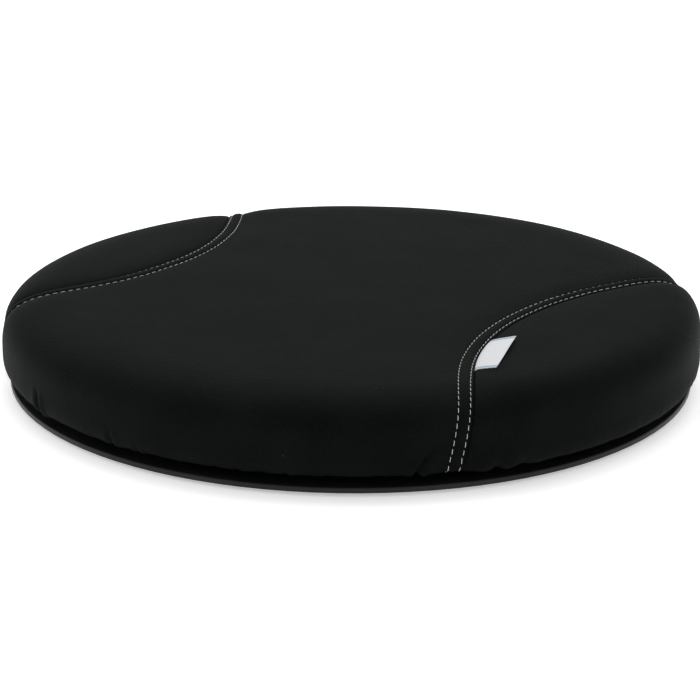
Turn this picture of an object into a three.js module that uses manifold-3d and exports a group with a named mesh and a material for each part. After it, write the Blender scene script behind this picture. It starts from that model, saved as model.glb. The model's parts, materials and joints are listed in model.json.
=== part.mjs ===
// A round swivelling seat cushion: a fabric-covered foam pad on a board, which turns on a flat
// base disc by a low ring of steel balls. Millimetres, +Z up, origin on the resting plane under
// the swivel axis. The two curved seams of the cover face +X and -X.
import * as THREE from "three";
import { mergeVertices } from "three/addons/utils/BufferGeometryUtils.js";
import Module from "manifold-3d";

const wasm = await Module();
wasm.setup();

// ---------- driving dimensions ----------

const SEAT_R = 200; // covered cushion at its widest
const SEAT_TOP = 51.5; // flat of the seat above the resting plane
const BASE_R = 195;
const GRIP_T = 2; // anti-slip ring under the base
const BASE_T = 3;
const BEARING_H = 6.4; // from the base disc to the seat board
const BOARD_T = 4;
const FABRIC_T = 0.7;
const GAP = 0.3; // between pieces that touch or run on each other

// levels, from the resting plane up
const BASE_Z = GRIP_T;
const BASE_TOP = BASE_Z + BASE_T;
const BOARD_Z = BASE_TOP + BEARING_H;
const BOARD_TOP = BOARD_Z + BOARD_T;
const BALL_Z = (BASE_TOP + BOARD_Z) / 2;

// cushion outline: two quarter superellipses that meet at the widest point
const WIDEST_Z = 24.5;
const SHOULDER = { width: 48, power: 3.4, steps: 8 };
const UNDERCUT = { width: 11, power: 3.1, steps: 5 };
const UNDER_Z = BOARD_Z - GAP - FABRIC_T; // underside of the cover
const HEM_R = 162; // inner edge of the cover under the board

// anti-slip ring, base and board
const GRIP_R = [80, 185];
const EDGE_CHAMFER = 0.4;
const BOARD_R = 187;

// ball bearing
const BALL_RING_R = 110;
const BALL_R = 1.9;
const BALLS = 16;
const RACE = { inner: 94, outer: 126, t: 1, ridgeH: 1 };
const CAGE = { halfWidth: 5.5, t: 1.4, pocketR: 2.3 };
const RIVET_RING_R = 121;
const RIVETS = 6;
const RIVET = { shank: 2, head: 3.75, headH: 1.2, sink: 3.4, sinkH: 1.6 };

// pivot bolt and what is on it
const BOLT_R = 4;
const BOLT_HEAD = { r: 12, h: 1.5, edge: 0.5 };
const BOLT_TOP = 25.9;
const SPACER_R = 7;
const BUSH = { r: 6, flange: 10, flangeH: 1 };
const WASHER = { r: 12, h: 1.5 };
const NUT = { acrossFlats: 13, h: 8 };
const NUT_POCKET = { r: 15, h: 14 }; // recess in the foam over the nut

// cover seams: arcs about points near the X axis, outside the cushion
const SEAMS = [
  { x: 305, y: 4.7, r: 196.3 },
  { x: -288, y: 1.7, r: 166 },
];

// drawcord and label
const CASING = { ringR: 159, z: 8.5, r: 2.4, wall: 0.7, slit: 35 };
const ELASTIC_R = 1.3;
const LABEL = { length: 50, width: 15.5, layer: 0.4, fold: 0.4, angle: 20, lift: 0.3 };

// facets around the axis
const FINE = 96;
const MEDIUM = 64;
const COARSE = 40;
const PIVOT_FACETS = 24;
const RIVET_FACETS = 12;

// ---------- helpers ----------

const v2 = (r, z) => new THREE.Vector2(r, z);

// Twice the signed area of a closed outline.
function windingOf(outline) {
  return outline.reduce((sum, p, i) => {
    const q = outline[(i + 1) % outline.length];
    return sum + p.x * q.y - q.x * p.y;
  }, 0);
}

// Turns a closed outline of (radius, height) points about +Z.
function revolve(outline, segments) {
  const points = windingOf(outline) > 0 ? outline : [...outline].reverse();
  const geometry = new THREE.LatheGeometry([...points, points[0]], segments);
  geometry.rotateX(Math.PI / 2);
  return geometry;
}

// A ring of rectangular section.
function ring(inner, outer, low, high, segments) {
  return revolve([v2(inner, low), v2(outer, low), v2(outer, high), v2(inner, high)], segments);
}

function toSolid(geometry) {
  const bare = geometry.clone();
  bare.deleteAttribute("normal");
  bare.deleteAttribute("uv");
  const merged = mergeVertices(bare, 1e-4);
  return new wasm.Manifold(
    new wasm.Mesh({
      numProp: 3,
      vertProperties: new Float32Array(merged.attributes.position.array),
      triVerts: new Uint32Array(merged.index.array),
    }),
  );
}

function toGeometry(solid) {
  const mesh = solid.getMesh();
  const geometry = new THREE.BufferGeometry();
  geometry.setAttribute("position", new THREE.BufferAttribute(mesh.vertProperties, 3));
  geometry.setIndex(new THREE.BufferAttribute(mesh.triVerts, 1));
  geometry.computeVertexNormals();
  return geometry;
}

// Cuts the cutters, which are geometries, out of a geometry.
function cut(geometry, cutters) {
  return toGeometry(cutters.reduce((solid, c) => solid.subtract(toSolid(c)), toSolid(geometry)));
}

// Angles of count places spread evenly round the axis.
function around(count, start = 0) {
  return Array.from({ length: count }, (_, i) => start + (i * 2 * Math.PI) / count);
}

function placeOnRing(mesh, radius, angle) {
  mesh.position.set(radius * Math.cos(angle), radius * Math.sin(angle), 0);
  return mesh;
}

const finishes = {
  fabric: { color: 0x17191a, roughness: 0.9, metalness: 0 },
  foam: { color: 0xd8d2bd, roughness: 1, metalness: 0 },
  elastic: { color: 0x101010, roughness: 0.8, metalness: 0 },
  label: { color: 0xe6e8ea, roughness: 0.6, metalness: 0 },
  board: { color: 0x1b1b1c, roughness: 0.6, metalness: 0 },
  base: { color: 0x2b2c2d, roughness: 0.45, metalness: 0 },
  rubber: { color: 0x202122, roughness: 0.95, metalness: 0 },
  steel: { color: 0xa8abad, roughness: 0.35, metalness: 1 },
  nylon: { color: 0xdcdcd6, roughness: 0.5, metalness: 0 },
};

const object = new THREE.Group();

function add(name, finish, geometry) {
  const mesh = new THREE.Mesh(geometry, new THREE.MeshStandardMaterial(finishes[finish]));
  mesh.name = name;
  object.add(mesh);
  return mesh;
}

// ---------- rivets ----------

// A countersunk rivet, head up, that holds a stack of the given thickness standing on z = 0.
function rivetOutline(stack, clearance) {
  const { shank, head, headH, sink, sinkH } = RIVET;
  return [
    v2(0, 0),
    v2(sink + clearance, 0),
    v2(shank + clearance, sinkH),
    v2(shank + clearance, stack),
    v2(head, stack),
    v2(head * 0.7, stack + headH),
    v2(0, stack + headH),
  ];
}

// Rivet through [low, high] with its head at the high side, or at the low side if upside down.
function rivetGeometry(low, high, headUp, clearance = 0) {
  const geometry = revolve(rivetOutline(high - low, clearance), RIVET_FACETS);
  if (!headUp) {
    geometry.rotateX(Math.PI);
  }
  geometry.translate(0, 0, headUp ? low : high);
  return geometry;
}

const rivetAngles = around(RIVETS, Math.PI / RIVETS);

// The holes that a ring of rivets needs.
function rivetHoles(low, high, headUp) {
  return rivetAngles.map((angle) => {
    const hole = rivetGeometry(low, high, headUp, GAP);
    hole.translate(RIVET_RING_R * Math.cos(angle), RIVET_RING_R * Math.sin(angle), 0);
    return hole;
  });
}

// ---------- base: grip ring, disc, lower race ----------

const RACE_TOP = BASE_TOP + RACE.t;
const UPPER_RACE_Z = BOARD_Z - RACE.t;

function baseDisc() {
  const c = EDGE_CHAMFER;
  const outline = [
    v2(BOLT_R + GAP, BASE_Z),
    v2(BASE_R - c, BASE_Z),
    v2(BASE_R, BASE_Z + c),
    v2(BASE_R, BASE_TOP - c),
    v2(BASE_R - c, BASE_TOP),
    v2(BOLT_R + GAP, BASE_TOP),
  ];
  return cut(revolve(outline, FINE), rivetHoles(BASE_Z, RACE_TOP, true));
}

// A race pressed from sheet, lying on z = 0: flat flanges, and a track between two ridges.
function raceOutline() {
  const { inner, outer, t, ridgeH } = RACE;
  // (offset from the ball circle, height) on the outer half of the section
  const above = [v2(2.4, t + 0.6 * ridgeH), v2(3.2, t + ridgeH), v2(5, t)];
  const below = [v2(0.8, 0), v2(3, ridgeH), v2(5.4, 0)];
  const outwards = (points) => points.map((p) => v2(BALL_RING_R + p.x, p.y));
  const inwards = (points) => points.map((p) => v2(BALL_RING_R - p.x, p.y));
  return [
    v2(inner, 0),
    v2(inner, t),
    ...inwards(above).reverse(),
    v2(BALL_RING_R, t),
    ...outwards(above),
    v2(outer, t),
    v2(outer, 0),
    ...outwards(below).reverse(),
    ...inwards(below),
  ];
}

function lowerRace() {
  const geometry = revolve(raceOutline(), COARSE);
  geometry.translate(0, 0, BASE_TOP);
  return cut(geometry, rivetHoles(BASE_Z, RACE_TOP, true));
}

function upperRace() {
  const geometry = revolve(raceOutline(), COARSE);
  geometry.rotateX(Math.PI);
  geometry.translate(0, 0, BOARD_Z);
  return cut(geometry, rivetHoles(UPPER_RACE_Z, BOARD_TOP, false));
}

add("anti_slip_ring", "rubber", ring(GRIP_R[0], GRIP_R[1], 0, GRIP_T, MEDIUM));
add("base_disc", "base", baseDisc());
add("lower_race", "steel", lowerRace());
rivetAngles.forEach((angle, i) => {
  const rivet = add(`lower_rivet_${i + 1}`, "steel", rivetGeometry(BASE_Z, RACE_TOP, true));
  placeOnRing(rivet, RIVET_RING_R, angle);
});

// ---------- balls and their cage ----------

function ballCage() {
  const { halfWidth, t, pocketR } = CAGE;
  const [low, high] = [BALL_Z - t / 2, BALL_Z + t / 2];
  const pockets = around(BALLS).map((angle) => {
    const pocket = new THREE.CylinderGeometry(pocketR, pocketR, 2 * t, RIVET_FACETS);
    pocket.rotateX(Math.PI / 2);
    pocket.translate(BALL_RING_R * Math.cos(angle), BALL_RING_R * Math.sin(angle), BALL_Z);
    return pocket;
  });
  return cut(ring(BALL_RING_R - halfWidth, BALL_RING_R + halfWidth, low, high, MEDIUM), pockets);
}

add("ball_cage", "nylon", ballCage());
around(BALLS).forEach((angle, i) => {
  const ball = add(`ball_${i + 1}`, "steel", new THREE.SphereGeometry(BALL_R, 10, 6));
  placeOnRing(ball, BALL_RING_R, angle).position.z = BALL_Z;
});

// ---------- pivot ----------

function pivotBolt() {
  const { r, h, edge } = BOLT_HEAD;
  const low = BASE_Z - h;
  return revolve(
    [
      v2(0, low),
      v2(r - edge, low),
      v2(r, low + edge),
      v2(r, BASE_Z),
      v2(BOLT_R, BASE_Z),
      v2(BOLT_R, BOLT_TOP - edge),
      v2(BOLT_R - edge, BOLT_TOP),
      v2(0, BOLT_TOP),
    ],
    PIVOT_FACETS,
  );
}

function pivotBush() {
  const hole = BOLT_R + GAP;
  return revolve(
    [
      v2(hole, BOARD_Z - BUSH.flangeH),
      v2(BUSH.flange, BOARD_Z - BUSH.flangeH),
      v2(BUSH.flange, BOARD_Z),
      v2(BUSH.r, BOARD_Z),
      v2(BUSH.r, BOARD_TOP),
      v2(hole, BOARD_TOP),
    ],
    PIVOT_FACETS,
  );
}

function pivotNut(low) {
  const corner = NUT.acrossFlats / Math.sqrt(3);
  const corners = around(6).map((a) => v2(corner * Math.cos(a), corner * Math.sin(a)));
  const hexagon = new THREE.Shape(corners);
  hexagon.holes.push(new THREE.Path().absarc(0, 0, BOLT_R + GAP, 0, 2 * Math.PI, true));
  const options = { depth: NUT.h, bevelEnabled: false, curveSegments: PIVOT_FACETS / 2 };
  const geometry = new THREE.ExtrudeGeometry(hexagon, options);
  geometry.translate(0, 0, low);
  return geometry;
}

const SPACER_TOP = BOARD_Z - BUSH.flangeH - GAP;
const WASHER_Z = BOARD_TOP + GAP;
const NUT_Z = WASHER_Z + WASHER.h;

add("pivot_bolt", "steel", pivotBolt());
add("pivot_spacer", "steel", ring(BOLT_R + GAP, SPACER_R, BASE_TOP, SPACER_TOP, PIVOT_FACETS));
add("pivot_bush", "nylon", pivotBush());
add("pivot_washer", "steel", ring(BOLT_R + GAP, WASHER.r, WASHER_Z, NUT_Z, PIVOT_FACETS));
add("pivot_nut", "steel", pivotNut(NUT_Z));

// ---------- seat board and upper race ----------

function seatBoard() {
  const board = ring(BUSH.r + GAP, BOARD_R, BOARD_Z, BOARD_TOP, MEDIUM);
  return cut(board, rivetHoles(UPPER_RACE_Z, BOARD_TOP, false));
}

add("seat_board", "board", seatBoard());
add("upper_race", "steel", upperRace());
rivetAngles.forEach((angle, i) => {
  const rivet = add(`upper_rivet_${i + 1}`, "steel", rivetGeometry(UPPER_RACE_Z, BOARD_TOP, false));
  placeOnRing(rivet, RIVET_RING_R, angle);
});

// ---------- cushion ----------

// A quarter superellipse about (SEAT_R - width, WIDEST_Z), as (radius, height) points from its
// widest point to its pole, pulled in by inset. Height is signed: down for the undercut.
function quarter({ width, power, steps }, height, inset) {
  const [a, h] = [width - inset, height - Math.sign(height) * inset];
  return Array.from({ length: steps + 1 }, (_, i) => {
    const t = (i / steps) * (Math.PI / 2);
    const out = i === steps ? 0 : Math.cos(t) ** (2 / power);
    return v2(SEAT_R - width + a * out, WIDEST_Z + h * Math.sin(t) ** (2 / power));
  });
}

// The side of the cushion from its underside, round the widest point, to the edge of the flat top.
function sideOutline(inset) {
  const under = quarter(UNDERCUT, UNDER_Z - WIDEST_Z, inset);
  const shoulder = quarter(SHOULDER, SEAT_TOP - WIDEST_Z, inset);
  return [...under.reverse(), ...shoulder.slice(1)];
}

// The pad sits on the board, wraps its rim, and is hollowed over the nut.
function foamPad() {
  const side = sideOutline(FABRIC_T + GAP);
  const rim = BOARD_R + GAP;
  const pocketTop = BOARD_TOP + NUT_POCKET.h;
  return revolve(
    [
      v2(0, pocketTop),
      v2(NUT_POCKET.r, pocketTop),
      v2(NUT_POCKET.r, BOARD_TOP),
      v2(rim, BOARD_TOP),
      v2(rim, side[0].y),
      ...side,
      v2(0, side.at(-1).y),
    ],
    MEDIUM,
  );
}

// The whole cover as one thin shell, open under the board.
function coverShell() {
  const outside = sideOutline(0);
  const inside = sideOutline(FABRIC_T).reverse();
  return revolve(
    [
      v2(HEM_R, UNDER_Z),
      ...outside,
      v2(0, SEAT_TOP),
      v2(0, SEAT_TOP - FABRIC_T),
      ...inside,
      v2(HEM_R, UNDER_Z + FABRIC_T),
    ],
    MEDIUM,
  );
}

// An upright cylinder about a seam's centre, wider than the seam by spare, to cut the cover.
function seamCylinder(seam, spare) {
  const radius = seam.r + spare;
  const geometry = new THREE.CylinderGeometry(radius, radius, 2 * SEAT_TOP, FINE * 2);
  geometry.rotateX(Math.PI / 2);
  geometry.translate(seam.x, seam.y, SEAT_TOP / 2);
  return geometry;
}

const shell = toSolid(coverShell());
const centrePanel = SEAMS.reduce(
  (solid, seam) => solid.subtract(toSolid(seamCylinder(seam, GAP / 2))),
  shell,
);

add("foam_pad", "foam", foamPad());
add("cover_centre_panel", "fabric", toGeometry(centrePanel));
SEAMS.forEach((seam, i) => {
  const panel = shell.intersect(toSolid(seamCylinder(seam, -GAP / 2)));
  add(`cover_side_panel_${i + 1}`, "fabric", toGeometry(panel));
});

// ---------- drawcord and label ----------

// Points on an arc of a tube's section, in degrees from the outward radius.
function arcPoints(radius, from, to, steps) {
  return Array.from({ length: steps + 1 }, (_, i) => {
    const t = THREE.MathUtils.degToRad(from + ((to - from) * i) / steps);
    return v2(CASING.ringR + radius * Math.cos(t), CASING.z + radius * Math.sin(t));
  });
}

// A folded strip round the elastic, open towards the board.
function hemCasing() {
  const [from, to] = [90 + CASING.slit, 450 - CASING.slit];
  const outer = arcPoints(CASING.r, from, to, 5);
  const inner = arcPoints(CASING.r - CASING.wall, to, from, 5);
  return revolve([...outer, ...inner], COARSE);
}

// A woven ribbon folded in two, its cut ends at the seam and its fold pointing away from it.
function foldedLabel() {
  const { length, width, layer, fold } = LABEL;
  const [t, high] = [layer, 2 * layer + fold];
  const section = new THREE.Shape([
    v2(0, 0),
    v2(width - t, 0),
    v2(width, t),
    v2(width, high - t),
    v2(width - t, high),
    v2(0, high),
    v2(0, high - t),
    v2(width - t, high - t),
    v2(width - t, t),
    v2(0, t),
  ]);
  const geometry = new THREE.ExtrudeGeometry(section, { depth: length, bevelEnabled: false });
  geometry.translate(0, 0, -length / 2);
  geometry.rotateX(Math.PI / 2);
  return geometry;
}

add("hem_casing", "fabric", hemCasing());
add("elastic_cord", "elastic", revolve(arcPoints(ELASTIC_R, 0, 300, 5), COARSE));

const labelAngle = Math.PI + THREE.MathUtils.degToRad(LABEL.angle);
const labelReach = SEAMS[0].r - GAP;
const label = add("label", "label", foldedLabel());
label.position.set(
  SEAMS[0].x + labelReach * Math.cos(labelAngle),
  SEAMS[0].y + labelReach * Math.sin(labelAngle),
  SEAT_TOP + LABEL.lift,
);
label.rotation.z = labelAngle + Math.PI;

export default object;
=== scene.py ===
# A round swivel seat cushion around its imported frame: black cover with curved topstitched seams,
# foam, gathered hem, label and turntable base. Metres, +Z up; the seams face +X and -X.
import json
import math

import bmesh
import bpy
import numpy as np
from mathutils import Matrix, Vector
from mathutils.geometry import delaunay_2d_cdt
from mathutils.kdtree import KDTree


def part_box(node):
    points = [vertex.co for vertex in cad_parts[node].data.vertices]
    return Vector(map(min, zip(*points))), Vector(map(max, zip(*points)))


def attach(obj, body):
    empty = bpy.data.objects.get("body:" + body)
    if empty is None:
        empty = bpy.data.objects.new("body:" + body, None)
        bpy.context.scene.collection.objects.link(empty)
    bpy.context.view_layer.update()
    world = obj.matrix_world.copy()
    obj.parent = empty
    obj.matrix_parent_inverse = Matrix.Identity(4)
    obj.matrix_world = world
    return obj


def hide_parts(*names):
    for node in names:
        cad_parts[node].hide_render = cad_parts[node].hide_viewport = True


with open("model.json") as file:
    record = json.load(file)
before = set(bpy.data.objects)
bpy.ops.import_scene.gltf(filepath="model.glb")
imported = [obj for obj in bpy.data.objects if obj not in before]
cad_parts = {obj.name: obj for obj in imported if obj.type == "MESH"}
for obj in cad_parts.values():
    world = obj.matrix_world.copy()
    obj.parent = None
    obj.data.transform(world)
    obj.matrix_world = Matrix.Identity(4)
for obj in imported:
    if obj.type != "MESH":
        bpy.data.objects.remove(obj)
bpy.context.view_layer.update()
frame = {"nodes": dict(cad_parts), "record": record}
nodes = frame["nodes"]

MM = 0.001
COVERS = ["cover_centre_panel", "cover_side_panel_1", "cover_side_panel_2"]

# ---------- sizes taken from the frame ----------

SEAT_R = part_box("cover_centre_panel")[1].y - 0.7 * MM  # the cover is drawn in a little
SEAT_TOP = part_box("cover_centre_panel")[1].z
UNDER_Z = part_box("cover_centre_panel")[0].z
BOARD_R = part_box("seat_board")[1].x
BOARD_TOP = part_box("seat_board")[1].z
DISC_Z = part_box("base_disc")[0].z
CASING_LOW, CASING_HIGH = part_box("hem_casing")

# ---------- cushion outline and seams ----------

WIDEST_Z = 24.5 * MM
SHOULDER_W, SHOULDER_POWER = 48 * MM, 3.4
UNDERCUT_W, UNDERCUT_POWER = 11 * MM, 3.1
HEM_R = 162 * MM
CROWN = 0.6 * MM  # how far the middle of the top stands above its rim
BOARD_FADE = 6 * MM  # above this height over the underside the board no longer holds the cover

# the foam has settled: it stands higher towards SETTLE_TOWARDS (an azimuth), by this slope
SETTLE_SLOPE = 0.0105
SETTLE_TOWARDS = math.radians(-28)

# each seam is an arc in plan: (x and y of its centre, radius)
SEAMS = {"1": (305 * MM, 4.7 * MM, 196.3 * MM), "2": (-288 * MM, 1.7 * MM, 166 * MM)}
SEAM_DRIFT = 10.4 * MM  # how far a seam leans towards the centre panel down the side
ROW_V = {"inner": 1.9 * MM, "outer": 8.4 * MM}  # topstitch rows, from the seam's edge
STITCH = 4.6 * MM
GROOVE = (0.62, 0.75)  # depth and half width of the groove under each row, in mm
STRIP = (0.55, 2.4)  # rise and half width of the padded strip between the rows, in mm
FOLD = (1.3, 1.2, 1.1)  # depth of the seam's fold, and its width on either side of it, in mm
COLUMNS_PER_STITCH = 4
SWELL_CAP = 1.9 * MM  # the furthest the simulated cover may rise from there
SWELL_BLEND = 0.25 * MM
SEAM_SINK = 1.6 * MM  # the seams hold the cover this far below the foam's own outline

# side panel 1 is fuller than the outline at its shoulder, and both are low down: rise, place
# along the outline (the second counted up from where the underside turns flat) and half width
SHOULDER_FULL = (1.3 * MM, SEAT_R - SHOULDER_W + 38 * MM, 15 * MM)
LOWER_FULL = (1.5 * MM, 9 * MM, 6 * MM)

# gathers under the board: how many waves go round, and the height of the folds at the hem and of
# the ripples at the lower edge, in mm
GATHER_WAVES = (38, 61, 97, 143)
GATHER_FOLD, GATHER_RIPPLE = 0.75, 0.22

# rows of mesh points along each seam, by distance from its edge; negative is the side panel
SIDE_ROWS = [-8, -5.6, -3.8, -2.5, -1.5, -0.8, -0.3]
CENTRE_ROWS = [0.3, 0.7, 1.25, 1.9, 2.55, 3.4, 4.3, 5.15, 6, 6.9, 7.75, 8.4, 9.05, 9.9, 11, 12.6, 14.6]
BAND_MARGIN = 1.4 * MM
TOP_STEP = 4 * MM
SIDE_STEP = 2.3 * MM
SIDE_SECTORS = 720

# puckers above the lower edge: azimuth in degrees, height, depth, half width, lean (mm)
PUCKERS = [
    (-116.7, 19, 2.6, 1.7, 0),
    (-97.8, 12, 2.0, 1.3, 0),
    (-92.8, 8, 1.4, 1.1, 0),
    (-75.5, 4, 0.7, 1.4, 0),
    (-68.0, 5, 0.9, 1.2, 1),
    (-48.0, 17, 2.9, 1.5, 7.5),
    (-35.2, 10, 1.5, 2.4, 2),
    (-30.3, 7, 0.8, 3.0, 0),
]
HIDDEN_PUCKERS = 9  # more of them round the far side
FAR_SIDE = (42, 200)  # from this azimuth to that, in degrees
BOARD_CLEAR = 3.5 * MM  # creases keep this far out from the board's rim
SEED = 11


class Outline:
    """The cushion's half section, from the middle of the top over the side to the hem."""

    def __init__(self):
        quarter = np.linspace(0, math.pi / 2, 240)
        flat_r = SEAT_R - SHOULDER_W
        shoulder, undercut = 2 / SHOULDER_POWER, 2 / UNDERCUT_POWER
        r = [
            np.linspace(0, flat_r, 120),
            flat_r + SHOULDER_W * np.sin(quarter) ** shoulder,
            SEAT_R - UNDERCUT_W + UNDERCUT_W * np.cos(quarter) ** undercut,
            np.linspace(SEAT_R - UNDERCUT_W, HEM_R, 40),
        ]
        z = [
            np.full(120, SEAT_TOP),
            WIDEST_Z + (SEAT_TOP - WIDEST_Z) * np.cos(quarter) ** shoulder,
            WIDEST_Z - (WIDEST_Z - UNDER_Z) * np.sin(quarter) ** undercut,
            np.full(40, UNDER_Z),
        ]
        r, z = np.concatenate(r), np.concatenate(z)
        steps = np.hypot(np.diff(r), np.diff(z))
        keep = np.concatenate([[True], steps > 1e-7])
        r, z = r[keep], z[keep]
        self.s = np.concatenate([[0], np.cumsum(np.hypot(np.diff(r), np.diff(z)))])
        self.r, self.z = r, z
        self.nr, self.nz = -np.gradient(z, self.s), np.gradient(r, self.s)
        self.length = self.s[-1]
        self.pole = self.length - (SEAT_R - UNDERCUT_W - HEM_R)  # where the underside turns flat

    def at(self, s):
        """Radius, height and the normal's two parts at a distance from the middle of the top."""
        r, z, nr, nz = (np.interp(s, self.s, a) for a in (self.r, self.z, self.nr, self.nz))
        size = np.hypot(nr, nz)
        return r, z, nr / size, nz / size

    def normal(self, s, theta):
        """Unit vectors that point out of the cushion."""
        _, _, nr, nz = self.at(s)
        return np.stack([nr * np.cos(theta), nr * np.sin(theta), nz], axis=1)

    def of_radius(self, r):
        """Distance along the outline where the top first has that radius."""
        top = self.s <= self.s[np.argmax(self.r)]
        return np.interp(r, self.r[top], self.s[top])


outline = Outline()


def smooth_step(x, low, high):
    t = np.clip((x - low) / (high - low), 0, 1)
    return t * t * (3 - 2 * t)


def seam_drift(s):
    """How far the seams lean: nothing on the flat top, all of it at the lower edge."""
    start = SEAT_R - SHOULDER_W
    return SEAM_DRIFT * np.clip((s - start) / (outline.pole - start), 0, 1) ** 2.1


def seam_distance(s, theta, side):
    """Distance from a seam's edge, negative on its side panel."""
    centre_x, centre_y, radius = SEAMS[side]
    r, _, _, _ = outline.at(s)
    x, y = r * np.cos(theta), r * np.sin(theta)
    return np.hypot(x - centre_x, y - centre_y) - radius - seam_drift(s)


def nearest_seam(s, theta):
    """Distance from the nearer seam's edge, negative on a side panel."""
    nearest = np.full(len(theta), np.inf)
    for side in SEAMS:
        away = seam_distance(s, theta, side)
        nearest = np.where(np.abs(away) < np.abs(nearest), away, nearest)
    return nearest


def seam_row(side, v, columns):
    """(s, theta) of evenly spread points at distance v from a seam's edge, end to end."""
    centre_x, centre_y, radius = SEAMS[side]
    reach, middle = math.hypot(centre_x, centre_y), math.atan2(centre_y, centre_x)
    start = outline.of_radius(reach - radius - v)
    s = start + (outline.length - start) * np.linspace(0, 1, 1500) ** 2
    r, z, _, _ = outline.at(s)
    d = radius + v + seam_drift(s)
    theta = np.arccos(np.clip((r**2 + reach**2 - d**2) / (2 * r * reach), -1, 1))
    line = np.stack([r * np.cos(theta), r * np.sin(theta), z], axis=1)
    along = np.concatenate([[0], np.cumsum(np.linalg.norm(np.diff(line, axis=0), axis=1))])
    at = np.linspace(0, along[-1], columns + 1)
    s, theta = np.interp(at, along, s), np.interp(at, along, theta)
    s, theta = np.concatenate([s[:0:-1], s]), np.concatenate([-theta[:0:-1], theta])
    return s, middle + theta, along[-1]


def seam_columns(side):
    """Half the number of mesh columns along a seam, a whole number of stitches."""
    length = seam_row(side, 0, 10)[2]
    return COLUMNS_PER_STITCH * round(length / STITCH)


def stitch_phase(columns):
    """Place of each of a seam row's points in its stitch, from 0 to 1."""
    return (np.arange(-columns, columns + 1) % COLUMNS_PER_STITCH) / COLUMNS_PER_STITCH


# ---------- how far the cover stands off the outline ----------


def noise_field(s, theta, wavelength, seed):
    """Smooth seeded waves over the cover, about -1 to 1."""
    random = np.random.default_rng(seed)
    x, y = s * np.cos(theta), s * np.sin(theta)
    total = np.zeros_like(x)
    for _ in range(12):
        turn, phase = random.uniform(0, 2 * math.pi, 2)
        k = 2 * math.pi / (wavelength * random.uniform(0.7, 1.6))
        total += np.sin(k * (x * math.cos(turn) + y * math.sin(turn)) + phase)
    return total / 4


def all_puckers():
    """The seen puckers, and seeded ones on the far side."""
    random = np.random.default_rng(SEED)
    hidden = []
    for azimuth in np.linspace(*FAR_SIDE, HIDDEN_PUCKERS):
        height, lean = random.uniform(5, 17), random.uniform(-3, 3)
        azimuth += random.uniform(-6, 6)
        hidden.append((azimuth, height, 0.6 + 0.11 * height, random.uniform(1.1, 2), lean))
    return PUCKERS + hidden


def pucker_depth(s, theta, z):
    """Creases that run up from the lower edge, each between two soft swells."""
    total = np.zeros_like(s)
    low = WIDEST_Z - UNDER_Z
    rim = smooth_step(np.interp(s, outline.s, outline.r), BOARD_R, BOARD_R + BOARD_CLEAR)
    clear_of_board = np.where(z < WIDEST_Z, rim, 1)
    for azimuth, height, depth, width, lean in all_puckers():
        height, depth, width, lean = (x * MM for x in (height, depth, width, lean))
        above = z - UNDER_Z
        turn = np.angle(np.exp(1j * (theta - math.radians(azimuth))))
        across = turn * SEAT_R - lean * above / low
        fade = (1 - smooth_step(above, 0.25 * height, height)) * clear_of_board
        narrow = width * (0.55 + 0.45 * fade)
        crease = -np.exp(-((across / narrow) ** 2))
        swell = 0.45 * np.exp(-(((across - 2.4 * width) / (1.6 * width)) ** 2))
        swell += 0.3 * np.exp(-(((across + 2.6 * width) / (1.8 * width)) ** 2))
        total += depth * fade * (crease + swell)
    return total


def hem_gathers(s, theta):
    """The uneven gathers that the elastic draws into the cover under the board."""
    random = np.random.default_rng(SEED + 1)
    wave = np.zeros_like(theta)
    for count in GATHER_WAVES:
        wave += np.sin(count * theta + random.uniform(0, 2 * math.pi)) / 2.2
    near_hem = smooth_step(s, outline.pole, outline.length)
    at_edge = np.exp(-(((s - outline.pole + 6 * MM) / (5 * MM)) ** 2))
    folds = GATHER_FOLD * np.maximum(wave + 0.9, 0) * near_hem
    return (folds + GATHER_RIPPLE * wave * at_edge) * MM


def seam_relief(v, phase):
    """The stitched strip's own shape: two grooves, a padded strip and a folded edge."""
    v = v / MM
    dimple = 0.78 + 0.22 * np.cos(2 * math.pi * phase)
    relief = np.zeros_like(v)
    depth, width = GROOVE
    for row in ROW_V.values():
        relief -= depth * dimple * np.exp(-(((v - row / MM) / width) ** 2))
    middle = (ROW_V["inner"] + ROW_V["outer"]) / 2 / MM
    rise, width = STRIP
    relief += rise * np.exp(-(((v - middle) / width) ** 4))
    depth, centre_side, outer_side = FOLD
    folded = (1 - np.clip(v, 0, centre_side) / centre_side) ** 2
    relief -= np.where((v >= 0) & (v < centre_side), depth * folded, 0)
    relief -= np.where(v < 0, depth * np.exp(np.minimum(v, 0) / outer_side), 0)
    return relief * MM


def held_depth(v):
    """How far a seam holds the cover down, as a plain formula."""
    away = np.where(v < 0, -v, np.maximum(v - ROW_V["outer"], 0))
    return SEAM_SINK * np.exp(-((away / (7 * MM)) ** 1.4))


def side_fullness(s, theta, v):
    """How much squarer the side panels stand than the rest of the cushion."""
    rise, place, width = SHOULDER_FULL
    total = rise * np.exp(-(((s - place) / width) ** 2)) * (np.cos(theta) > 0)
    rise, above, width = LOWER_FULL
    total += rise * np.exp(-(((s - outline.pole + above) / width) ** 2))
    return total * smooth_step(-v, 0, 10 * MM)


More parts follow.
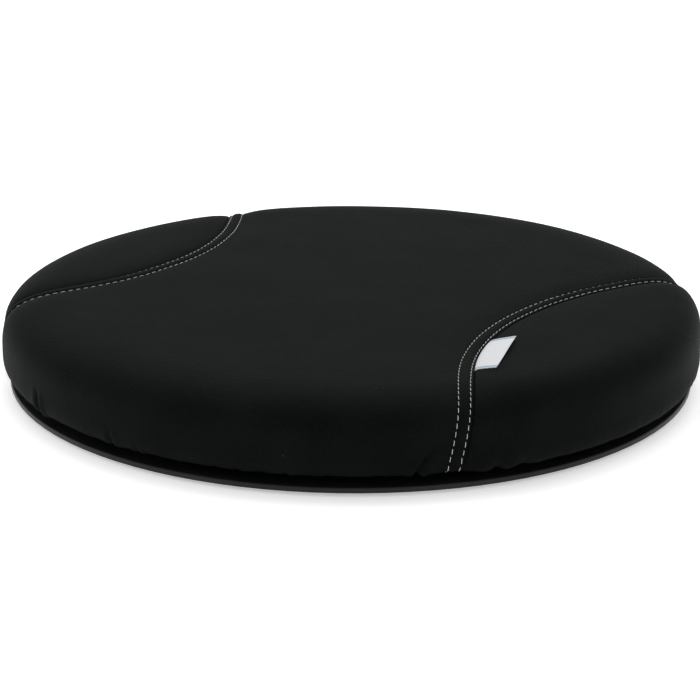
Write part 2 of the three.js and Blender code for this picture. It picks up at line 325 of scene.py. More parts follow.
def simulate_swell():
    """Cloth simulation: the cover starts inside the foam's outline, held at its seams and under the
    board, and is blown out against it. Returns the start points and how far each moved out."""
    bm = bmesh.new()
    start = outline.s[outline.s < outline.length - 1 * MM][::6]
    r, z, nr, nz = outline.at(start)
    r, z = np.maximum(r - SEAM_SINK * nr, 0), z - SEAM_SINK * nz
    section = [(0, z[0]), *zip(r[1:], z[1:]), (0, z[-1])]
    verts = [bm.verts.new((x, 0, height)) for x, height in section]
    edges = [bm.edges.new(pair) for pair in zip(verts, verts[1:])]
    bmesh.ops.spin(
        bm, geom=verts + edges, axis=(0, 0, 1), cent=(0, 0, 0), steps=160, angle=2 * math.pi
    )
    bmesh.ops.remove_doubles(bm, verts=bm.verts, dist=1e-5)
    bmesh.ops.recalc_face_normals(bm, faces=bm.faces)
    mesh = bpy.data.meshes.new("swell")
    bm.to_mesh(mesh)
    bm.free()
    body = bpy.data.objects.new("swell", mesh)
    bpy.context.scene.collection.objects.link(body)

    remesh = body.modifiers.new("remesh", "REMESH")
    remesh.mode = "VOXEL"
    remesh.voxel_size = 5 * MM
    body.data = bpy.data.meshes.new_from_object(
        body.evaluated_get(bpy.context.evaluated_depsgraph_get())
    )
    body.modifiers.clear()

    before = vertex_array(body.data)
    s, theta = cover_coordinates(before)
    held = before[:, 2] < UNDER_Z + 2 * SEAM_SINK
    for side in SEAMS:
        v = seam_distance(s, theta, side)
        held |= (v > -1.5 * MM) & (v < ROW_V["outer"] + 1.5 * MM)
    group = body.vertex_groups.new(name="held")
    group.add([int(i) for i in np.flatnonzero(held)], 1.0, "REPLACE")

    cloth = body.modifiers.new("cloth", "CLOTH")
    settings = cloth.settings
    settings.quality = 5
    settings.mass = 0.3
    settings.tension_stiffness = settings.compression_stiffness = 15
    settings.shear_stiffness = 5
    settings.bending_stiffness = 0.6
    settings.use_pressure = True
    settings.uniform_pressure_force = 4
    settings.effector_weights.gravity = 0
    settings.vertex_group_mass = "held"
    cloth.collision_settings.use_collision = False
    for number in range(1, 21):
        bpy.context.scene.frame_set(number)
    blown = body.evaluated_get(bpy.context.evaluated_depsgraph_get()).to_mesh()
    after = vertex_array(blown)
    bpy.context.scene.frame_set(1)
    out = ((after - before) * outline.normal(s, theta)).sum(1)
    bpy.data.objects.remove(body)
    return before, SWELL_CAP * np.tanh(np.maximum(out, 0) / SWELL_CAP)


def vertex_array(mesh):
    co = np.empty(len(mesh.vertices) * 3)
    mesh.vertices.foreach_get("co", co)
    return co.reshape(-1, 3)


def cover_coordinates(points):
    """(s, theta) of the outline's point nearest to each given point."""
    r, theta = np.hypot(points[:, 0], points[:, 1]), np.arctan2(points[:, 1], points[:, 0])
    tree = KDTree(len(outline.s))
    for i, (x, z) in enumerate(zip(outline.r, outline.z)):
        tree.insert((x, 0, z), i)
    tree.balance()
    nearest = [tree.find((x, 0, z))[1] for x, z in zip(r, points[:, 2])]
    return outline.s[nearest], theta


class Swell:
    """How far the cover stands above its held depth, from the simulation or a plain formula."""

    def __init__(self):
        self.tree = None
        points, self.out = simulate_swell()
        self.tree = KDTree(len(points))
        for i, p in enumerate(points):
            self.tree.insert(p, i)
        self.tree.balance()

    def at(self, s, theta, nearest_v):
        foam_push = SEAM_SINK - held_depth(nearest_v)
        if self.tree is None:
            return foam_push
        r, z, _, _ = outline.at(s)
        x, y = r * np.cos(theta), r * np.sin(theta)
        found = np.empty(len(s))
        for i, p in enumerate(zip(x, y, z)):
            near = self.tree.find_n(p, 6)
            weights = [1 / (distance + 1.5 * MM) ** 2 for _, _, distance in near]
            found[i] = sum(w * self.out[j] for w, (_, j, _) in zip(weights, near)) / sum(weights)
        higher = np.logaddexp(found / SWELL_BLEND, foam_push / SWELL_BLEND)
        return SWELL_BLEND * (higher - math.log(2) / 2)


swell = Swell()


def cover_height(s, theta, v, phase):
    """How far the cover stands off the outline along its normal."""
    _, z, _, _ = outline.at(s)
    crown = CROWN * (1 - np.clip(s / (SEAT_R - SHOULDER_W), 0, 1) ** 2)
    uneven = 0.16 * MM * noise_field(s, theta, 90 * MM, SEED + 2)
    uneven += 0.03 * MM * noise_field(s, theta, 34 * MM, SEED + 3)
    above_board = smooth_step(z, UNDER_Z, UNDER_Z + BOARD_FADE)
    lift = (swell.at(s, theta, v) - SEAM_SINK + uneven) * above_board
    away = smooth_step(np.abs(v - 4 * MM), 5 * MM, 13 * MM)
    creases = pucker_depth(s, theta, z) * (0.25 + 0.75 * away) + hem_gathers(s, theta)
    relief = seam_relief(v, phase) * np.maximum(above_board, 0.35)
    return crown + lift + side_fullness(s, theta, v) + creases + relief


def cover_point(s, theta, height):
    r, z, nr, nz = outline.at(s)
    r = r + height * nr
    settled = SETTLE_SLOPE * r * np.cos(theta - SETTLE_TOWARDS)
    settled = settled * smooth_step(z, UNDER_Z, UNDER_Z + 7 * MM)
    return np.stack([r * np.cos(theta), r * np.sin(theta), z + settled + height * nz], axis=-1)


# ---------- cover panels ----------


def lattice():
    """Rings of (s, theta) points over the cover, coarse on top and fine down the side."""
    rings = []
    edge = SEAT_R - SHOULDER_W
    for s in np.arange(TOP_STEP / 2, edge, TOP_STEP):
        rings.append((s, max(6, round(2 * math.pi * s / TOP_STEP))))
    count = round((outline.length - edge) / SIDE_STEP)
    for i in range(count + 1):
        s = edge + (outline.length - edge) * i / count
        rings.append((s, SIDE_SECTORS if i > 4 else SIDE_SECTORS // 2))
    points = []
    for number, (s, sectors) in enumerate(rings):
        turn = 2 * math.pi * (np.arange(sectors) + 0.5 * (number % 2)) / sectors
        points.append(np.stack([np.full(sectors, s), turn], axis=1))
    return np.concatenate(points)


def cover_points():
    """All mesh points of the cover: s, theta, distance from the nearest seam, place in its stitch."""
    sets = []
    for side in SEAMS:
        columns = seam_columns(side)
        phase = stitch_phase(columns)
        for v in [*SIDE_ROWS, 0, *CENTRE_ROWS]:
            s, theta, _ = seam_row(side, v * MM, columns)
            sets.append(np.stack([s, theta, np.full(len(s), v * MM), phase], axis=1))
    grid = lattice()
    v = nearest_seam(grid[:, 0], grid[:, 1])
    low, high = SIDE_ROWS[0] * MM - BAND_MARGIN, CENTRE_ROWS[-1] * MM + BAND_MARGIN
    free = (v < low) | (v > high)
    rest = np.stack([grid[:, 0], grid[:, 1], v, np.zeros(len(grid))], axis=1)[free]
    return np.concatenate(sets + [rest])


def make_panels():
    """Three sheets of cover, one mesh each, that meet at the seams' turned edges."""
    s, theta, v, phase = cover_points().T
    flat = np.stack([s * np.cos(theta), s * np.sin(theta)], axis=1)
    found = delaunay_2d_cdt([Vector(p) for p in flat], [], [], 0, 1e-9)
    keep = np.array([ids[0] for ids in found[3]])
    triangles = keep[np.array(found[2])]
    points = cover_point(s, theta, cover_height(s, theta, v, phase))
    side_of = np.where(v[triangles].mean(1) > 0, 0, np.where(flat[triangles][:, :, 0].mean(1) > 0, 1, 2))
    normal = outline.normal(s, theta)
    smooth = cover_point(s, theta, np.zeros(len(s)))
    panels = []
    for number, node in enumerate(COVERS):
        used, faces = np.unique(triangles[side_of == number], return_inverse=True)
        faces = faces.reshape(-1, 3)
        piece = mesh_object("cover_" + ["centre", "side_1", "side_2"][number], points[used], faces)
        set_vectors(piece.data, "cloth", np.column_stack([flat[used], np.zeros(len(used))]))
        turn_edges_under(piece.data, v[used], normal[used])
        thickness = piece.modifiers.new("thickness", "SOLIDIFY")
        thickness.thickness = 0.5 * MM
        thickness.offset = -1
        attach(piece, "seat")
        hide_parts(node)
        panel_cut(number)
        panels.append(piece)
    return panels


def panel_cut(number):
    """Width and length of the cloth that a panel is cut from."""
    widest = outline.s[np.argmax(outline.r)]
    ends = {}
    for side in SEAMS:
        s, theta, _ = seam_row(side, 0, 400)
        middle = math.atan2(SEAMS[side][1], SEAMS[side][0])
        ends[side] = np.interp(widest, s[400:], theta[400:]) - middle  # half its angle
    if number == 0:
        between = math.pi - sum(ends.values())
        return between * SEAT_R, 2 * outline.length
    side = str(number)
    top = seam_row(side, 0, 10)[0].min()
    return outline.length - top, 2 * ends[side] * SEAT_R


def turn_edges_under(mesh, v, normal):
    """Folds a panel's seam edge down into the seam."""
    bm = bmesh.new()
    bm.from_mesh(mesh)
    bm.verts.ensure_lookup_table()
    on_seam = set(np.flatnonzero(np.abs(v) < 1e-6).tolist())
    edges = [
        e for e in bm.edges if len(e.link_faces) == 1 and {e.verts[0].index, e.verts[1].index} <= on_seam
    ]
    down = {bm.verts[i]: Vector(-normal[i]) for i in on_seam}
    made = bmesh.ops.extrude_edge_only(bm, edges=edges)["geom"]
    for vert in [g for g in made if isinstance(g, bmesh.types.BMVert)]:
        source = next(e.other_vert(vert) for e in vert.link_edges if e.other_vert(vert) in down)
        vert.co += down[source] * 1.2 * MM
    bm.to_mesh(mesh)
    bm.free()
    mesh.shade_smooth()


def mesh_object(name, points, faces):
    mesh = bpy.data.meshes.new(name)
    mesh.from_pydata([tuple(p) for p in points], [], [tuple(int(i) for i in f) for f in faces])
    mesh.shade_smooth()
    piece = bpy.data.objects.new(name, mesh)
    bpy.context.scene.collection.objects.link(piece)
    return piece


def set_vectors(mesh, name, values):
    attribute = mesh.attributes.new(name, "FLOAT_VECTOR", "POINT")
    attribute.data.foreach_set("vector", values.astype(np.float32).ravel())


# ---------- topstitching ----------


def between_rows(values, at):
    """A list of vectors read at a place between two of them."""
    return np.array([np.interp(at, np.arange(len(values)), values[:, k]) for k in range(3)])


def make_topstitch(side, row):
    """One row of stitches: short twisted threads that come up, run and go down again."""
    thread_r, above, below = 0.175 * MM, 0.06 * MM, 0.7 * MM  # above and below the cloth
    columns = seam_columns(side)
    s, theta, _ = seam_row(side, ROW_V[row], columns)
    v = np.full(len(s), ROW_V[row])
    line = cover_point(s, theta, cover_height(s, theta, v, stitch_phase(columns)))
    normal = outline.normal(s, theta)
    tangent = np.gradient(line, axis=0)
    tangent /= np.linalg.norm(tangent, axis=1, keepdims=True)
    across = np.cross(normal, tangent)
    # (place along the stitch in mesh columns, height, share of the slant)
    path = [(0.64, -below, -1), (0.72, 0, -0.9), (0.95, above, -0.7), (2.0, above * 1.25, 0)]
    path += [(3.05, above, 0.7), (3.28, 0, 0.9), (3.36, -below, 1)]
    slant = 0.16 * MM
    sides = 6
    turns = np.arange(sides) * 2 * math.pi / sides
    points, faces = [], []
    for first in range(0, len(s) - COLUMNS_PER_STITCH, COLUMNS_PER_STITCH):
        for number, (along, lift, lean) in enumerate(path):
            at = first + along
            up, side_way = between_rows(normal, at), between_rows(across, at)
            middle = between_rows(line, at) + up * lift + side_way * slant * lean
            start = len(points)
            for turn in turns:
                offset = up * math.cos(turn) * 0.85 + side_way * math.sin(turn)
                points.append(middle + offset * thread_r)
            if number:
                for k in range(sides):
                    a, b = start + k, start + (k + 1) % sides
                    faces.append((a - sides, a, b, b - sides))
            if number in (0, len(path) - 1):
                cap = [start + k for k in range(sides)]
                faces.append(cap if number else cap[::-1])
    piece = mesh_object(f"topstitch_{side}_{row}", points, faces)
    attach(piece, "seat")
    return piece


# ---------- label ----------

LABEL_LENGTH = 50 * MM
LABEL_WIDTH = 15.5 * MM
LABEL_TAPER = 0.17  # the ribbon was caught askew, so its near end stands out less
LABEL_MIDDLE = math.radians(20)  # its place along seam 1, about the seam's centre
LABEL_EDGE = 0.28 * MM
LABEL_GAP = 0.7 * MM  # half the gap between its layers at the fold, at the far end


def make_label():
    """A woven ribbon folded in two and caught in seam 1, its fold standing a little off the cover."""
    centre_x, centre_y, radius = SEAMS["1"]
    # (way out over the side panel, height over the top of the foam, share of the gap between the
    # layers), in mm, round the fold
    section = [
        (-1.4, -3.1, 0), (-0.6, -2.3, 0), (0.3, -1.45, 0), (2, -0.75, -0.2), (4.5, -0.1, -0.4),
        (7.5, 0.5, -0.6), (10, 0.95, -0.9), (11.4, 1.15, -0.9), (12, 1.25, 0), (11.4, 1.2, 0.9),
        (10, 1.05, 0.9), (7.5, 0.65, 0.6), (4.5, 0.15, 0.4), (2, -0.45, 0.2), (0.7, -1.0, 0.1),
        (0.1, -1.35, 0), (-0.9, -2.2, 0), (-1.6, -3.0, 0),
    ]
    section = round_corners(np.array(section) * (LABEL_WIDTH / 12, MM, MM), 2)
    direction = math.pi + LABEL_MIDDLE
    out = Vector((-math.cos(direction), -math.sin(direction), 0))
    along_way = Vector((math.sin(direction), -math.cos(direction), 0))
    settled = SETTLE_SLOPE * (centre_x - radius) * math.cos(SETTLE_TOWARDS)
    middle = Vector((centre_x, centre_y, SEAT_TOP + settled)) - out * radius
    spread = np.linspace(-0.5, 0.5, 41)
    points, cloth = [], []
    along = np.concatenate([[0], np.cumsum(np.linalg.norm(np.diff(section, axis=0), axis=1))])
    for part in spread:
        t = part * LABEL_LENGTH
        sag = radius - math.sqrt(radius**2 - t**2)
        foot = middle + along_way * t
        lift = (0.5 + part) * 1.0 + 0.25 * math.sin(5 * part)
        for (way, height, gap), d in zip(section, along):
            share = max(0.0, way / LABEL_WIDTH)
            rise = height + lift * MM * share**1.5 + gap * LABEL_GAP * (0.6 + part)
            reach = way * (1 - LABEL_TAPER * (0.5 - part))
            points.append(foot + out * (reach + sag * (1 - share)) + Vector((0, 0, rise)))
            cloth.append((t, d, 0))
    width = len(section)
    faces = []
    for i in range(len(spread) - 1):
        for j in range(width - 1):
            a = i * width + j
            faces.append((a, a + width, a + width + 1, a + 1))
    piece = mesh_object("label_ribbon", points, faces)
    set_vectors(piece.data, "cloth", np.array(cloth))
    edge = piece.modifiers.new("thickness", "SOLIDIFY")
    edge.thickness = LABEL_EDGE
    edge.offset = 0
    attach(piece, "seat")
    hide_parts("label")
    return piece


def round_corners(points, times):
    """Cuts the corners of an open line, several times over."""
    for _ in range(times):
        a, b = points[:-1], points[1:]
        middle = np.stack([0.75 * a + 0.25 * b, 0.25 * a + 0.75 * b], axis=1).reshape(-1, points.shape[1])
        points = np.concatenate([points[:1], middle, points[-1:]])
    return points


# ---------- foam and gathered casing ----------

FOAM_UNDER = 1.5 * MM  # how far the foam stays below the cover's outline
FOAM_SEAM_ROOM = 1.6 * MM  # more room under the seams
FOAM_CLEAR = 3 * MM  # more room for the creases low on the side


def make_foam():
    """The foam under the cover: it fills the cover, wraps the board's rim and clears the nut."""
    sectors = 180
    foam_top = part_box("foam_pad")[1].z
    edge = SEAT_R - SHOULDER_W
    s = np.concatenate([np.linspace(0, edge, 30)[1:], np.linspace(edge, outline.pole, 44)[1:]])
    pocket_r, pocket_top = 15 * MM, BOARD_TOP + 14 * MM  # room for the pivot's nut
    rim = BOARD_R + 0.3 * MM
    inner = [(rim, UNDER_Z + 4.6 * MM), (rim, BOARD_TOP), (pocket_r, BOARD_TOP), (pocket_r, pocket_top)]
    theta = 2 * math.pi * np.arange(sectors) / sectors
    points = [np.array([[0, 0, foam_top - 0.5 * MM]])]
    for ring_s in s:
        ring = np.full(sectors, ring_s)
        v = nearest_seam(ring, theta)
        _, z, _, _ = outline.at(ring)
        above_board = smooth_step(z, UNDER_Z, UNDER_Z + BOARD_FADE)
        seam_room = held_depth(v) + FOAM_SEAM_ROOM * np.exp(-((v / (9 * MM)) ** 2))
        height = -FOAM_UNDER - seam_room * above_board
        height -= FOAM_CLEAR * (1 - smooth_step(z, WIDEST_Z, WIDEST_Z + 14 * MM))
        points.append(cover_point(ring, theta, height))
    for r, z in inner:
        points.append(np.stack([r * np.cos(theta), r * np.sin(theta), np.full(sectors, z)], axis=1))
    points.append(np.array([[0, 0, pocket_top]]))
    rings = len(points) - 2
    points = np.concatenate(points)
    last = len(points) - 1
    faces = []
    for k in range(sectors):
        after = (k + 1) % sectors
        faces.append((0, 1 + k, 1 + after))
        for i in range(rings - 1):
            a, b = 1 + i * sectors, 1 + (i + 1) * sectors
            faces.append((a + k, b + k, b + after, a + after))
        end = 1 + (rings - 1) * sectors
        faces.append((last, end + after, end + k))
    piece = mesh_object("foam", points, faces)
    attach(piece, "seat")
    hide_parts("foam_pad")
    return piece


def make_casing():
    """The hem turned over into a casing and drawn up in gathers by the elastic inside it."""
    around_count, section_count = 900, 14
    middle_r = CASING_HIGH.x - 2.4 * MM
    middle_z = (CASING_LOW.z + CASING_HIGH.z) / 2 + 0.2 * MM
    tube_r = 2.1 * MM
    theta = 2 * math.pi * np.arange(around_count) / around_count
    random = np.random.default_rng(SEED + 4)
    wave = sum(np.sin(n * theta + random.uniform(0, 6.3)) for n in (73, 118, 161)) / 2
    open_half = math.radians(35)
    turns = np.linspace(math.pi / 2 + open_half, 5 * math.pi / 2 - open_half, section_count)
    points, faces = [], []
    for angle, ripple in zip(theta, wave):
        for turn in turns:
            outward = max(0.0, -math.sin(turn)) + 0.5 * abs(math.cos(turn))
            size = tube_r + 0.28 * MM * ripple * outward
            r, z = middle_r + size * math.cos(turn), middle_z + size * math.sin(turn)
            points.append((r * math.cos(angle), r * math.sin(angle), z))
    for i in range(around_count):
        a, b = i * section_count, (i + 1) % around_count * section_count
        faces += [(a + j, a + j + 1, b + j + 1, b + j) for j in range(section_count - 1)]
    piece = mesh_object("hem_gathered", points, faces)
    set_vectors(piece.data, "cloth", np.array(points))
    edge = piece.modifiers.new("thickness", "SOLIDIFY")
    edge.thickness = 0.45 * MM
    edge.offset = -1
    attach(piece, "seat")
    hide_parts("hem_casing")
    return piece


# ---------- materials ----------


class Graph:
    """A small helper for material node trees."""

    def __init__(self, name):
        self.material = bpy.data.materials.new(name)
        self.material.use_nodes = True
        self.tree = self.material.node_tree
        self.tree.nodes.clear()
        self.output = self.tree.nodes.new("ShaderNodeOutputMaterial")

    def node(self, kind, **settings):
        made = self.tree.nodes.new(kind)
        for key, value in settings.items():
            setattr(made, key, value)
        return made

    def link(self, source, target):
        self.tree.links.new(source, target)

    def principled(self, **inputs):
        shader = self.node("ShaderNodeBsdfPrincipled")
        for key, value in inputs.items():
            shader.inputs[key.replace("_", " ")].default_value = value
        self.link(shader.outputs[0], self.output.inputs["Surface"])
        return shader

    def math(self, operation, a, b=None):
        made = self.node("ShaderNodeMath", operation=operation)
        for socket, value in zip(made.inputs, (a, b)):
            if value is None:
                continue
            if isinstance(value, (int, float)):
                socket.default_value = value
            else:
                self.link(value, socket)
        return made.outputs[0]

    def noise(self, vector, size, detail=3.0, roughness=0.55):
        """Noise whose blotches are about size across; vector is in metres."""
        made = self.node("ShaderNodeTexNoise")
        made.inputs["Scale"].default_value = 1 / size
        made.inputs["Detail"].default_value = detail
        made.inputs["Roughness"].default_value = roughness
        self.link(vector, made.inputs["Vector"])
        return made.outputs["Fac"]

    def wave(self, vector, period, direction="X"):
        """Sine bands with that period."""
        made = self.node("ShaderNodeTexWave", wave_type="BANDS", bands_direction=direction)
        made.inputs["Scale"].default_value = math.pi / 10 / period
        self.link(vector, made.inputs["Vector"])
        return made.outputs["Fac"]

    def ramp(self, value, stops):
        """A colour ramp from (place, colour) stops."""
        made = self.node("ShaderNodeValToRGB")
        elements = made.color_ramp.elements
        while len(elements) < len(stops):
            elements.new(0.5)
        for element, (place, colour) in zip(elements, stops):
            element.position = place
            element.color = (*colour, 1)
        self.link(value, made.inputs["Fac"])
        return made.outputs["Color"]

    def bump(self, shader, height, strength, distance, after=None):
        made = self.node("ShaderNodeBump")
        made.inputs["Strength"].default_value = strength
        made.inputs["Distance"].default_value = distance
        self.link(height, made.inputs["Height"])
        if after is not None:
            self.link(after, made.inputs["Normal"])
        self.link(made.outputs[0], shader.inputs["Normal"])
        return made.outputs[0]

    def place(self, name=None):
        """A named point attribute, or else the object's own coordinates, in metres."""
        if name:
            return self.node("ShaderNodeAttribute", attribute_name=name).outputs["Vector"]
        return self.node("ShaderNodeTexCoord").outputs["Object"]


def fabric_material():
    """Black plain-woven polyester: fine yarns, a soft nap, faint mottling and a little lint."""
    g = Graph("black_woven_fabric")
    cloth = g.place("cloth")
    shader = g.principled(Roughness=0.6, Sheen_Weight=0.003, Sheen_Roughness=0.5)
    shader.inputs["Specular Tint"].default_value = (0.74, 0.91, 1.0, 1)
    shader.inputs["Sheen Tint"].default_value = (0.78, 0.86, 1.0, 1)
    shader.inputs["Specular IOR Level"].default_value = 0.022
    yarns = g.math("MULTIPLY", g.wave(cloth, 0.62 * MM, "X"), g.wave(cloth, 0.62 * MM, "Y"))
    slub = g.noise(cloth, 2.2 * MM, 4)
    blotch = g.noise(cloth, 38 * MM, 2)
    tone = g.math("ADD", g.math("MULTIPLY", slub, 0.5), g.math("MULTIPLY", blotch, 0.5))
    base = g.ramp(tone, [(0.34, (0.0026, 0.0032, 0.0030)), (0.66, (0.0047, 0.0057, 0.0054))])
    specks = g.node("ShaderNodeTexVoronoi")
    specks.inputs["Scale"].default_value = 1 / (7 * MM)
    g.link(cloth, specks.inputs["Vector"])
    rare = g.math("GREATER_THAN", specks.outputs["Color"], 0.82)
    tiny = g.math("LESS_THAN", specks.outputs["Distance"], 0.06)
    lint = g.node("ShaderNodeMix", data_type="RGBA")
    g.link(g.math("MULTIPLY", rare, tiny), lint.inputs["Factor"])
    g.link(base, lint.inputs["A"])
    lint.inputs["B"].default_value = (0.03, 0.03, 0.03, 1)
    g.link(lint.outputs["Result"], shader.inputs["Base Color"])
    coarse = g.bump(shader, slub, 0.8, 0.36 * MM)
    g.bump(shader, yarns, 0.55, 0.12 * MM, after=coarse)
    return g.material


def thread_material():
    """Off-white twisted polyester thread."""
    g = Graph("topstitch_thread")
    where = g.place()
    shader = g.principled(Roughness=0.55, Sheen_Weight=0.3)
    tone = g.noise(where, 1.2 * MM, 2)
    colour = g.ramp(tone, [(0.3, (0.5, 0.51, 0.52)), (0.7, (0.7, 0.7, 0.69))])
    g.link(colour, shader.inputs["Base Color"])
    g.bump(shader, g.wave(where, 0.5 * MM, "DIAGONAL"), 0.5, 0.1 * MM)
    return g.material


def label_material():
    """Pale woven satin ribbon with a plain blue-grey band across each end."""
    g = Graph("woven_label")
    cloth = g.place("cloth")
    shader = g.principled(Roughness=0.42, Sheen_Weight=0.25)
    parts = g.node("ShaderNodeSeparateXYZ")
    g.link(cloth, parts.inputs[0])
    from_middle = g.math("ABSOLUTE", parts.outputs["X"])
    band = g.math("GREATER_THAN", from_middle, LABEL_LENGTH / 2 - 3.2 * MM)
    inside = g.math("LESS_THAN", from_middle, LABEL_LENGTH / 2 - 1.1 * MM)
    mix = g.node("ShaderNodeMix", data_type="RGBA")
    g.link(g.math("MULTIPLY", band, inside), mix.inputs["Factor"])
    weave = g.noise(cloth, 0.8 * MM, 2)
    g.link(g.ramp(weave, [(0.3, (0.55, 0.57, 0.6)), (0.7, (0.68, 0.69, 0.7))]), mix.inputs["A"])
    mix.inputs["B"].default_value = (0.16, 0.27, 0.42, 1)
    g.link(mix.outputs["Result"], shader.inputs["Base Color"])
    rib = g.math("MULTIPLY", g.wave(cloth, 0.34 * MM, "X"), g.wave(cloth, 0.34 * MM, "Y"))
    g.bump(shader, rib, 0.4, 0.06 * MM)
    return g.material


def foam_material():
    """Open-cell foam."""
    g = Graph("open_cell_foam")
    where = g.place()
    shader = g.principled(Roughness=0.95)
    shader.inputs["Subsurface Weight"].default_value = 0.1
    cells = g.node("ShaderNodeTexVoronoi", feature="DISTANCE_TO_EDGE")
    cells.inputs["Scale"].default_value = 1 / (1.3 * MM)
    g.link(where, cells.inputs["Vector"])
    colour = g.ramp(g.noise(where, 20 * MM), [(0.3, (0.66, 0.6, 0.44)), (0.7, (0.76, 0.71, 0.56))])
    g.link(colour, shader.inputs["Base Color"])
    g.bump(shader, cells.outputs["Distance"], 0.7, 0.5 * MM)
    return g.material


def plastic_material(name, dark, light, roughness):
    """Moulded plastic with a fine spark-eroded grain and faint handling marks."""
    g = Graph(name)
    where = g.place()
    shader = g.principled()
    shader.inputs["Specular IOR Level"].default_value = 0.2
    marks = g.noise(where, 26 * MM, 5, 0.65)
    g.link(g.ramp(marks, [(0.35, dark), (0.7, light)]), shader.inputs["Base Color"])
    rough = g.math("ADD", g.math("MULTIPLY", marks, 0.16), roughness - 0.08)
    g.link(rough, shader.inputs["Roughness"])
    g.bump(shader, g.noise(where, 0.35 * MM, 2), 0.12, 0.08 * MM)
    return g.material


def rubber_material(name, base):
    """Soft dull rubber, dusty in places, with a fine knurl."""
    g = Graph(name)
    where = g.place()
    shader = g.principled(Roughness=0.88)
    dust = g.noise(where, 16 * MM, 5, 0.7)
    lighter = tuple(2.1 * c for c in base)
    g.link(g.ramp(dust, [(0.45, base), (0.8, lighter)]), shader.inputs["Base Color"])
    knurl = g.math("MULTIPLY", g.wave(where, 3 * MM, "X"), g.wave(where, 3 * MM, "Y"))
    g.bump(shader, knurl, 0.6, 0.5 * MM)
    return g.material


def steel_material(name, base, roughness, grain):
    """Zinc-plated or polished steel, with fine streaks and slightly uneven polish."""
    g = Graph(name)
    where = g.place()
    shader = g.principled(Metallic=1.0)
    g.link(g.ramp(g.noise(where, 14 * MM, 4), [(0.3, tuple(0.8 * c for c in base)), (0.7, base)]),
           shader.inputs["Base Color"])
    uneven = g.noise(where, 3 * MM, 4)
    rough = g.math("ADD", g.math("MULTIPLY", uneven, 0.18), roughness - 0.09)
    g.link(rough, shader.inputs["Roughness"])
    g.bump(shader, g.noise(where, grain, 3), 0.08, 0.05 * MM)
    return g.material


def smooth_cad(node):
    """Shades a CAD node smooth across its facets and sharp at its real edges."""
    piece = nodes[node]
    normals = piece.data.attributes.get("custom_normal")
    if normals is not None:
        piece.data.attributes.remove(normals)
    piece.data.shade_smooth()
    weld = piece.modifiers.new("weld", "WELD")
    weld.merge_threshold = 0.002 * MM
    split = piece.modifiers.new("edges", "EDGE_SPLIT")
    split.split_angle = math.radians(32)


def paint(piece, material):
    piece.data.materials.clear()
    piece.data.materials.append(material)


# ---------- stage ----------

VIEW_AZIMUTH, VIEW_ELEVATION = 32.0, 19.13
VIEW_DISTANCE = 1.7295
VIEW_ROLL = 0.28
LENS = 154.3
AIM_SIDE = -0.5 * MM
AIM = Vector((0, 0, DISC_Z + 12 * MM))


def seen_from(azimuth, elevation, distance):
    """A place round the object, by the camera's own angles."""
    a, e = math.radians(azimuth), math.radians(elevation)
    return Vector(
        (math.sin(a) * math.cos(e), -math.cos(a) * math.cos(e), math.sin(e))
    ) * distance


def make_camera():
    camera = bpy.data.objects.new("camera", bpy.data.cameras.new("camera"))
    bpy.context.scene.collection.objects.link(camera)
    camera.location = Vector((0, 0, DISC_Z)) + seen_from(VIEW_AZIMUTH, VIEW_ELEVATION, VIEW_DISTANCE)
    across = math.radians(VIEW_AZIMUTH)
    side = Vector((math.cos(across), math.sin(across), 0)) * AIM_SIDE
    look = (AIM + side - camera.location).to_track_quat("-Z", "Y").to_matrix()
    roll = Matrix.Rotation(math.radians(VIEW_ROLL), 3, "Z")
    camera.rotation_euler = (look @ roll).to_euler()
    camera.data.lens = LENS
    camera.data.sensor_width = 36
    camera.data.clip_end = 30
    bpy.context.scene.camera = camera


def area_light(name, place, target, size, power):
    light = bpy.data.objects.new(name, bpy.data.lights.new(name, "AREA"))
    light.data.shape = "RECTANGLE"
    light.data.size, light.data.size_y = size
    light.data.energy = power
    light.location = place
    light.rotation_euler = (Vector(target) - Vector(place)).to_track_quat("-Z", "Y").to_euler()
    bpy.context.scene.collection.objects.link(light)


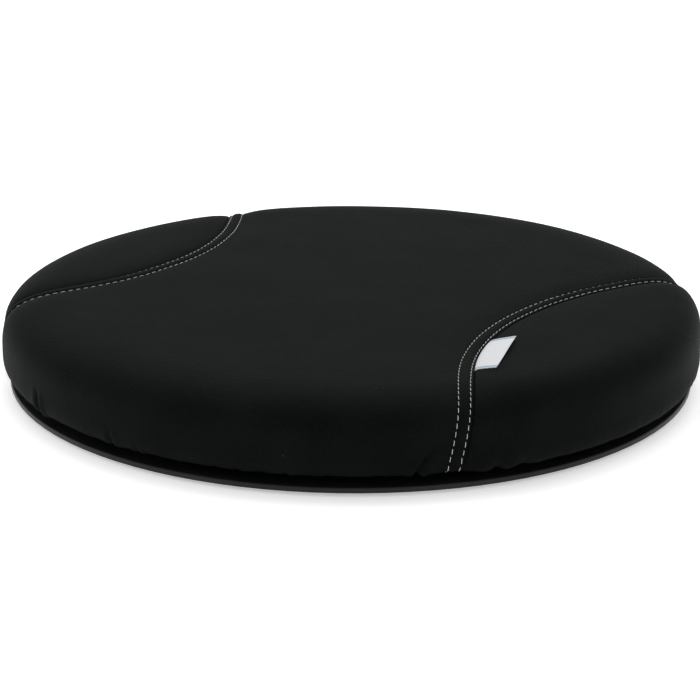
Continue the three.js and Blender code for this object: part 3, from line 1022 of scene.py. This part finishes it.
def make_stage():
    bm = bmesh.new()
    bmesh.ops.create_grid(bm, x_segments=1, y_segments=1, size=6)
    mesh = bpy.data.meshes.new("floor")
    bm.to_mesh(mesh)
    bm.free()
    floor = bpy.data.objects.new("floor", mesh)
    floor.location.z = -0.1 * MM  # just clear of the grip ring's own face
    bpy.context.scene.collection.objects.link(floor)
    g = Graph("floor_white")
    shader = g.principled(Roughness=0.6)
    shader.inputs["Base Color"].default_value = (0.92, 0.92, 0.92, 1)
    shader.inputs["Specular IOR Level"].default_value = 0.1
    shader.inputs["Emission Color"].default_value = (1, 1, 1, 1)
    shader.inputs["Emission Strength"].default_value = 0.42
    floor.data.materials.append(g.material)

    world = bpy.data.worlds.new("studio")
    bpy.context.scene.world = world
    world.use_nodes = True
    background = world.node_tree.nodes["Background"]
    background.inputs["Color"].default_value = (1, 1, 1, 1)
    background.inputs["Strength"].default_value = 0.72

    behind, left, right = VIEW_AZIMUTH + 180, VIEW_AZIMUTH - 88, VIEW_AZIMUTH + 84
    wall = (0, 0, 30 * MM)
    area_light("over", seen_from(behind, 72, 1.6), (0, 0, 0), (1.6, 1.2), 12.6)
    area_light("left", seen_from(left, 16, 1.4), wall, (0.7, 0.9), 3.2)
    area_light("right", seen_from(right, 16, 1.4), wall, (0.7, 0.9), 0.6)
    bpy.context.scene.view_settings.view_transform = "Standard"


# ---------- assembly ----------

make_camera()
make_stage()

panels = make_panels()
fabric = fabric_material()
for panel in panels:
    paint(panel, fabric)

thread = thread_material()
for seam in SEAMS:
    for stitch_row in ROW_V:
        paint(make_topstitch(seam, stitch_row), thread)

paint(make_label(), label_material())
paint(make_foam(), foam_material())
paint(make_casing(), fabric)

black_plastic = plastic_material("base_plastic", (0.009, 0.009, 0.0095), (0.016, 0.016, 0.017), 0.4)
board_plastic = plastic_material("board_plastic", (0.012, 0.012, 0.013), (0.022, 0.022, 0.023), 0.55)
nylon = plastic_material("natural_nylon", (0.66, 0.65, 0.58), (0.78, 0.77, 0.71), 0.5)
zinc = steel_material("zinc_plated_steel", (0.62, 0.63, 0.64), 0.4, 0.6 * MM)
polished = steel_material("polished_steel", (0.78, 0.78, 0.8), 0.14, 2 * MM)
grip = rubber_material("grip_rubber", (0.014, 0.014, 0.015))
cord = rubber_material("elastic", (0.01, 0.01, 0.01))
finishes = {
    "base_plastic": black_plastic,
    "seat_board": board_plastic,
    "nylon": nylon,
    "race_steel": zinc,
    "rivet_steel": zinc,
    "pivot_steel": zinc,
    "ball_steel": polished,
    "grip_rubber": grip,
    "elastic": cord,
}
for entry in frame["record"]["subparts"]:
    if not nodes[entry["node"]].hide_render:
        paint(nodes[entry["node"]], finishes[entry["material_slot"]])
        smooth_cad(entry["node"])
